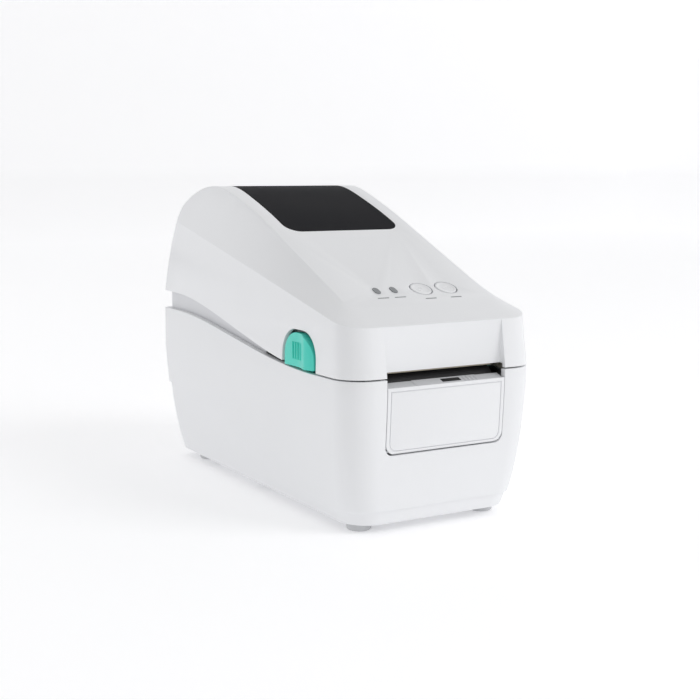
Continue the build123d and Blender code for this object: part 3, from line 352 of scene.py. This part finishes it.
class PrinterColours(bpy.types.PropertyGroup):
    """Colour of each family of pieces"""
    shell: colour_setting("Shell", "White of the cover, base and door", "F0F1F3")
    # The inner white is the shell's white darkened as painted shade; the tub and guides are the same
    # plastic as the shell.
    inner: colour_setting("Inner mouldings", "White of the tub and guides", "DEDFE2")
    caps: colour_setting("Button caps", "White of the push buttons", "EEEFF1")
    window: colour_setting("Window", "Smoked window in the cover", "242427")
    levers: colour_setting("Levers", "Pull levers on both sides", "4AD8C6")
    shelf: colour_setting("Exit shelf", "Pale shelf under the label mouth", "D2D3D6")
    guide: colour_setting("Paper guide", "Grey guide plate, hubs and track cover", "A6A7A9")
    dark: colour_setting("Dark mouldings", "Sockets, switch and bearings", "1C1C1E")
    gears: colour_setting("Gears", "Natural acetal", "DAD5C6")
    feet: colour_setting("Feet", "Rubber feet", "D2D3D5")
    platen: colour_setting("Platen", "Rubber of the platen roller", "202022")
    steel: colour_setting("Steel", "Plated steel parts", "C2C4C6")
    aluminium: colour_setting("Aluminium", "Heat sink", "D2D3D5")
    motor: colour_setting("Motor", "Enamelled motor case", "1E1E20")
    ceramic: colour_setting("Ceramic", "Printhead strip", "B9B09C")
    board: colour_setting("Boards", "Circuit boards", "14482A")
    lamps: colour_setting("Lamps", "Unlit indicator lenses", "8A8D90")
    ink: colour_setting("Printed marks", "Small marks under the lamps and buttons", "8E9093")
    floor: colour_setting("Floor", "Studio floor", "F7F7F8")


class PrinterSizes(bpy.types.PropertyGroup):
    """Sizes of the edges, buttons, ribs and marks"""
    edge: length_setting("Edge radius", "Rounding of the cover's edges", 0.6)
    base_edge: length_setting("Base edge radius", "Rounding of the base's edges", 0.35)
    door_edge: length_setting("Door edge", "Rounding of the door's edges", 0.4)
    dish: length_setting("Button dish", "Depth of the hollow in each button cap", 0.3)
    cap_radius: length_setting("Button cap radius", "Radius of each cap where it shows", 5.35)
    rib: length_setting("Finger rib", "Width of each rib on the levers", 1.1)
    mark_length: length_setting("Mark length", "Length of the printed marks", 6.4)


def colours():
    return bpy.context.scene.printer_colours


def sizes():
    return bpy.context.scene.printer_sizes


# ---- modelling helpers --------------------------------------------------------------------------
def clear_selection():
    if bpy.context.object and bpy.context.object.mode != "OBJECT":
        bpy.ops.object.mode_set(mode="OBJECT")
    bpy.ops.object.select_all(action="DESELECT")


def select_only(piece):
    clear_selection()
    piece.select_set(True)
    bpy.context.view_layer.objects.active = piece


def paint(piece, material):
    piece.data.materials.clear()
    piece.data.materials.append(material)


def copy_of_node(node, name):
    """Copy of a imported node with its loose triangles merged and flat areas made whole."""
    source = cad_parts[node]
    select_only(source)
    bpy.ops.object.duplicate()
    piece = bpy.context.object
    piece.name = name
    piece.data.name = name
    for key in [k for k in piece.keys() if k.startswith("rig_")]:
        del piece[key]
    piece.parent = None
    bpy.ops.object.mode_set(mode="EDIT")
    bpy.ops.mesh.select_all(action="SELECT")
    bpy.ops.mesh.remove_doubles(threshold=0.002 * MM)
    bpy.ops.mesh.dissolve_limited(angle_limit=radians(0.6))
    bpy.ops.object.mode_set(mode="OBJECT")
    bpy.ops.mesh.customdata_custom_splitnormals_clear()
    return piece


def apply_modifiers(piece):
    select_only(piece)
    for modifier in list(piece.modifiers):
        bpy.ops.object.modifier_apply(modifier=modifier.name)


def round_edges(piece, radius, angle=32.0, segments=3):
    bevel = piece.modifiers.new("edges", "BEVEL")
    bevel.width = radius
    bevel.segments = segments
    bevel.limit_method = "ANGLE"
    bevel.angle_limit = radians(angle)
    bevel.use_clamp_overlap = True
    bevel.miter_outer = "MITER_ARC"
    apply_modifiers(piece)


def smooth(piece, angle=28.0):
    select_only(piece)
    bpy.ops.object.shade_smooth_by_angle(angle=radians(angle))


def boolean_with(piece, tool, operation):
    """Combine a piece with a tool body, then take the tool away."""
    step = piece.modifiers.new("shape", "BOOLEAN")
    step.operation = operation
    step.object = tool
    step.solver = "EXACT"
    apply_modifiers(piece)
    select_only(tool)
    bpy.ops.object.delete()


def edit_all(piece):
    select_only(piece)
    bpy.ops.object.mode_set(mode="EDIT")
    bpy.ops.mesh.select_all(action="SELECT")


def leave_edit():
    bpy.ops.object.mode_set(mode="OBJECT")


def pick(piece, keep, kind="VERT"):
    """In edit mode, select the vertices, edges or faces whose centre the test keeps."""
    bpy.ops.mesh.select_mode(type=kind)
    bpy.ops.mesh.select_all(action="DESELECT")
    leave_edit()
    mesh = piece.data
    if kind == "VERT":
        for vertex in mesh.vertices:
            vertex.select = keep(vertex.co)
    elif kind == "EDGE":
        for edge in mesh.edges:
            start, end = (mesh.vertices[k].co for k in edge.vertices)
            edge.select = keep((start + end) / 2, end - start)
    else:
        for face in mesh.polygons:
            face.select = keep(face.center, face.normal)
    bpy.ops.object.mode_set(mode="EDIT")


def box_piece(name, low, high):
    """Cube primitive stretched between two corners, its transform applied."""
    clear_selection()
    middle = [(a + b) / 2 for a, b in zip(low, high)]
    bpy.ops.mesh.primitive_cube_add(size=1.0, location=middle)
    piece = bpy.context.object
    piece.name = name
    piece.data.name = name
    piece.scale = [b - a for a, b in zip(low, high)]
    bpy.ops.object.transform_apply(location=True, rotation=True, scale=True)
    return piece


def join(pieces):
    select_only(pieces[0])
    for piece in pieces:
        piece.select_set(True)
    bpy.ops.object.join()
    return bpy.context.object


def place_on_top(piece, x, y):
    """Turn a piece made upright at the origin onto the cover's sloping top."""
    slope = atan(TOP_SLOPE)
    height = BROW_Z + TOP_SLOPE * (y - BROW_Y)
    edit_all(piece)
    bpy.ops.transform.rotate(value=-slope, orient_axis="X", center_override=(0, 0, 0))
    bpy.ops.transform.translate(value=(x, y, height))
    leave_edit()


def fit_to_body(piece, body, material, slot, *nodes):
    paint(piece, material)
    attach(piece, body)
    if nodes:
        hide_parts(*nodes)


# ---- one operator per piece or group ---------------------------------------------------------------
class PRINTER_OT_inner_parts(bpy.types.Operator):
    """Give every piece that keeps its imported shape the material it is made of"""
    bl_idname = "printer.inner_parts"
    bl_label = "Inner Parts"

    def execute(self, context):
        c = colours()
        groups = [
            (inner_abs(c.inner), ["media_tub", "media_guide_left", "media_guide_right", "cover_inner_frame",
                                  "base_plate"]),
            (grey_pp(c.guide), ["paper_guide", "roll_hub_left", "roll_hub_right", "track_cover"]),
            (grey_pp(c.shelf), ["exit_shelf"]),
            (black_nylon(c.dark), ["take_sensor_window", "gap_sensor", "usb_socket", "power_socket",
                                   "power_switch", "power_rocker", "tact_switches", "platen_bearings",
                                   "latch_bushings", "board_parts"]),
            (acetal(c.gears), ["platen_gear", "idler_gear", "guide_pinion"]),
            (soft_rubber(c.feet), ["rubber_feet"]),
            (ground_rubber(c.platen), ["platen_roller"]),
            (plated_steel(c.steel), ["print_frame", "housing_screws", "track_screws", "motor_screws",
                                     "platen_shaft", "motor_shaft", "latch_shaft", "latch_spring",
                                     "latch_strikers", "hinge_pins", "door_pins", "head_bracket",
                                     "head_springs", "motor_pinion"]),
            (painted_steel(c.motor), ["stepper_motor"]),
            (extruded_aluminium(c.aluminium), ["heat_sink"]),
            (glazed_ceramic(c.ceramic), ["printhead"]),
            (solder_mask(c.board), ["main_board", "control_board"]),
            (lamp_lens(c.lamps), ["lamp_lenses", "lamp_chips"]),
            (smoked_acrylic(c.window), ["window"]),
        ]
        for material, nodes in groups:
            for node in nodes:
                paint(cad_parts[node], material)
        return {"FINISHED"}


class PRINTER_OT_housing(bpy.types.Operator):
    """Make the cover, base and door with softly rounded moulded edges"""
    bl_idname = "printer.housing"
    bl_label = "Housing"

    def execute(self, context):
        white = shell_abs(colours().shell)
        for node, name, body, radius in (("top_cover", "cover_shell", "cover", sizes().edge),
                                         ("base_casing", "base_shell", "base", sizes().base_edge),
                                         ("front_door", "door_panel", "door", sizes().door_edge)):
            piece = copy_of_node(node, name)
            round_edges(piece, radius)
            smooth(piece)
            fit_to_body(piece, body, white, "shell_white", node)
        return {"FINISHED"}


class PRINTER_OT_levers(bpy.types.Operator):
    """Shape the two pull levers: a crest near the front, a ribbed hollow behind it"""
    bl_idname = "printer.levers"
    bl_label = "Levers"

    def tab(self):
        """Pull tab of the right side: a stretched cube whose outer face is bent ring by ring."""
        crest_y = LEVER_Y - CREST_FORWARD
        crest_out = HALF_WIDTH + TAB_OUT
        low = (LEVER_IN, LEVER_Y - LEVER_HALF, LEVER_LOW - 0.3 * MM)
        high = (crest_out, LEVER_Y + LEVER_HALF, LEVER_TOP)
        tab = box_piece("tab", low, high)
        edit_all(tab)
        pick(tab, lambda middle, run: abs(run.y) > LEVER_HALF, "EDGE")
        bpy.ops.mesh.subdivide(number_cuts=TAB_CUTS)
        leave_edit()
        rings = sorted({round(vertex.co.y, 6) for vertex in tab.data.vertices})
        bpy.ops.object.mode_set(mode="EDIT")
        for ring in rings:
            pick(tab, lambda co: abs(co.y - ring) < 0.1 * MM and co.x > crest_out - 0.1 * MM)
            if ring < crest_y:
                share = (crest_y - ring) / (crest_y - rings[0])
                back = 1.6 * MM * share ** 2 + 0.6 * MM * share
            else:
                share = (ring - crest_y) / (rings[-1] - crest_y)
                back = 1.9 * MM * sin(pi / 2 * min(1.0, share * 2.2)) - 0.5 * MM * share
            bpy.ops.transform.translate(value=(-back, 0, 0))
        leave_edit()
        arch = box_piece("arch", (LEVER_IN - 1 * MM, low[1], LEVER_LOW - 1 * MM),
                         (crest_out + 1 * MM, high[1], LEVER_TOP))
        edit_all(arch)
        pick(arch, lambda middle, run: abs(run.x) > 1 * MM and middle.z > LEVER_TOP - 1 * MM, "EDGE")
        bpy.ops.mesh.bevel(offset=ARCH_RADIUS, segments=20, affect="EDGES")
        leave_edit()
        boolean_with(tab, arch, "INTERSECT")
        round_edges(tab, 1.1 * MM, 30.0, 4)
        return tab

    def ribs(self):
        """Finger ribs in the hollow behind the crest, one shaped and the others copied."""
        width = sizes().rib
        start = LEVER_Y - 2.6 * MM
        low = (HALF_WIDTH - 2.0 * MM, start, LEVER_LOW + 3.2 * MM)
        high = (HALF_WIDTH + 0.7 * MM, start + width, LEVER_TOP - 4.6 * MM)
        first = box_piece("rib", low, high)
        round_edges(first, 0.42 * MM, 30.0, 3)
        ribs = [first]
        for k in range(1, RIB_COUNT):
            select_only(first)
            bpy.ops.object.duplicate()
            copy = bpy.context.object
            edit_all(copy)
            bpy.ops.transform.translate(value=(0, RIB_PITCH * k, 0))
            leave_edit()
            ribs.append(copy)
        return ribs

    def execute(self, context):
        teal = lever_pp(colours().levers)
        for side, node in ((-1, "latch_lever_left"), (1, "latch_lever_right")):
            arm = copy_of_node(node, node + "_arm")
            keep = sorted((side * 40 * MM, side * LEVER_IN + side * 0.05 * MM))
            inside = box_piece("inside", (keep[0], -0.1, 0.0), (keep[1], 0.0, 0.12))
            boolean_with(arm, inside, "INTERSECT")
            tab = join([self.tab()] + self.ribs())
            if side < 0:
                edit_all(tab)
                bpy.ops.transform.mirror(constraint_axis=(True, False, False), center_override=(0, 0, 0))
                bpy.ops.mesh.flip_normals()
                leave_edit()
            lever = join([tab, arm])
            lever.name = "pull_lever_left" if side < 0 else "pull_lever_right"
            lever.data.name = lever.name
            smooth(lever, 35.0)
            fit_to_body(lever, "latch", teal, "teal_lever", node)
        return {"FINISHED"}


class PRINTER_OT_buttons(bpy.types.Operator):
    """Turn up the two push buttons: a flange, a cap with a rolled rim and a shallow dish"""
    bl_idname = "printer.buttons"
    bl_label = "Buttons"

    def execute(self, context):
        white = cap_abs(colours().caps)
        cap = sizes().cap_radius
        flange = cap + 1.5 * MM
        for name, x in BUTTONS.items():
            clear_selection()
            bpy.ops.mesh.primitive_cylinder_add(vertices=72, radius=flange, depth=0.8 * MM,
                                                location=(0, 0, -2.55 * MM))
            piece = bpy.context.object
            piece.name = name + "_cap"
            piece.data.name = piece.name
            bpy.ops.object.transform_apply(location=True, rotation=True, scale=True)
            edit_all(piece)
            pick(piece, lambda middle, normal: normal.z > 0.9, "FACE")
            bpy.ops.mesh.inset(thickness=flange - cap, use_even_offset=True)
            bpy.ops.mesh.extrude_region_move(TRANSFORM_OT_translate={"value": (0, 0, 2.0 * MM)})
            bpy.ops.mesh.inset(thickness=0.35 * MM, use_even_offset=True)
            bpy.ops.transform.translate(value=(0, 0, 0.3 * MM))
            bpy.ops.mesh.inset(thickness=0.5 * MM, use_even_offset=True)
            for step in range(4):
                bpy.ops.mesh.inset(thickness=0.3 * MM, use_even_offset=True)
                bpy.ops.transform.translate(value=(0, 0, -sizes().dish * (0.4 - 0.1 * step)))
            leave_edit()
            smooth(piece, 40.0)
            place_on_top(piece, x, BUTTON_Y)
            fit_to_body(piece, name, white, "button_white", name + "_button")
        return {"FINISHED"}


class PRINTER_OT_marks(bpy.types.Operator):
    """Print a short plain bar in front of each lamp and button"""
    bl_idname = "printer.marks"
    bl_label = "Printed Marks"

    def execute(self, context):
        ink = printed_ink(colours().ink)
        length = sizes().mark_length
        marks = []
        for x in LAMPS_X + tuple(BUTTONS.values()):
            forward = LAMP_MARK_FORWARD if x < 0 else BUTTON_MARK_FORWARD
            low = (-length / 2, -0.4 * MM, -0.05 * MM)
            high = (length / 2, 0.4 * MM, 0.02 * MM)
            mark = box_piece("mark", low, high)
            edit_all(mark)
            pick(mark, lambda middle, run: abs(run.z) > 0.01 * MM, "EDGE")
            bpy.ops.mesh.bevel(offset=0.35 * MM, segments=6, affect="EDGES")
            leave_edit()
            place_on_top(mark, x, BUTTON_Y - forward)
            marks.append(mark)
        print_row = join(marks)
        print_row.name = "printed_marks"
        print_row.data.name = "printed_marks"
        fit_to_body(print_row, "cover", ink, None)
        return {"FINISHED"}


class PRINTER_OT_stage(bpy.types.Operator):
    """Set up the floor, the soft lights and the camera"""
    bl_idname = "printer.stage"
    bl_label = "Stage"

    def floor(self):
        """Paper sweep: a plane whose far and right edges are drawn up and rounded."""
        clear_selection()
        bpy.ops.mesh.primitive_plane_add(size=FLOOR_SIZE, location=(0, 0, 0))
        floor = bpy.context.object
        floor.name = "studio_floor"
        far = FLOOR_SIZE / 2 - 0.5
        edit_all(floor)
        pick(floor, lambda middle, run: middle.y > far or middle.x > far, "EDGE")
        bpy.ops.mesh.extrude_edges_move(TRANSFORM_OT_translate={"value": (0, 0, WALL_HEIGHT)})
        pick(floor, lambda middle, run: middle.z < 0.1 and (middle.y > far or middle.x > far), "EDGE")
        bpy.ops.mesh.bevel(offset=SWEEP_RADIUS, segments=16, affect="EDGES")
        leave_edit()
        smooth(floor, 40.0)
        paint(floor, studio_floor(colours().floor))

    def air(self, context):
        """Even white light from all round."""
        world = bpy.data.worlds.new("studio_air")
        world.use_nodes = True
        background = world.node_tree.nodes["Background"]
        background.inputs["Color"].default_value = linear("FFFFFF")
        background.inputs["Strength"].default_value = 0.55
        context.scene.world = world

    def turn_towards(self, place, aim):
        return (Vector(aim) - Vector(place)).to_track_quat("-Z", "Y").to_euler()

    def execute(self, context):
        self.floor()
        self.air(context)
        for name, place, size, power in LIGHTS:
            bpy.ops.object.light_add(type="AREA", location=place)
            lamp = bpy.context.object
            lamp.name = name
            lamp.data.size = size
            lamp.data.energy = power
            lamp.rotation_euler = self.turn_towards(place, LIGHT_AIM)
        bpy.ops.object.camera_add(location=CAMERA_PLACE)
        camera = bpy.context.object
        camera.name = "studio_camera"
        camera.rotation_euler = self.turn_towards(CAMERA_PLACE, CAMERA_AIM)
        camera.data.lens = CAMERA_LENS
        camera.data.sensor_width = 36.0
        camera.data.shift_x, camera.data.shift_y = CAMERA_SHIFT
        camera.data.clip_start = 0.01
        context.scene.camera = camera
        context.scene.view_settings.view_transform = "Standard"
        return {"FINISHED"}


class PRINTER_PT_panel(bpy.types.Panel):
    bl_idname = "PRINTER_PT_panel"
    bl_label = "Label Printer"
    bl_space_type = "VIEW_3D"
    bl_region_type = "UI"
    bl_category = "Label Printer"

    def draw(self, context):
        column = self.layout.column(align=True)
        for operator in OPERATORS:
            column.operator(operator.bl_idname)
        for group in (context.scene.printer_colours, context.scene.printer_sizes):
            box = self.layout.box()
            for name in group.bl_rna.properties.keys():
                if name not in ("rna_type", "name"):
                    box.prop(group, name)


OPERATORS = (PRINTER_OT_inner_parts, PRINTER_OT_housing, PRINTER_OT_levers, PRINTER_OT_buttons,
             PRINTER_OT_marks, PRINTER_OT_stage)
CLASSES = (PrinterColours, PrinterSizes) + OPERATORS + (PRINTER_PT_panel,)


def register():
    for item in CLASSES:
        bpy.utils.register_class(item)
    bpy.types.Scene.printer_colours = bpy.props.PointerProperty(type=PrinterColours)
    bpy.types.Scene.printer_sizes = bpy.props.PointerProperty(type=PrinterSizes)


def unregister():
    del bpy.types.Scene.printer_sizes
    del bpy.types.Scene.printer_colours
    for item in reversed(CLASSES):
        bpy.utils.unregister_class(item)


def main():
    register()
    bpy.ops.printer.inner_parts()
    bpy.ops.printer.housing()
    bpy.ops.printer.levers()
    bpy.ops.printer.buttons()
    bpy.ops.printer.marks()
    bpy.ops.printer.stage()


if __name__ == "__main__":
    main()
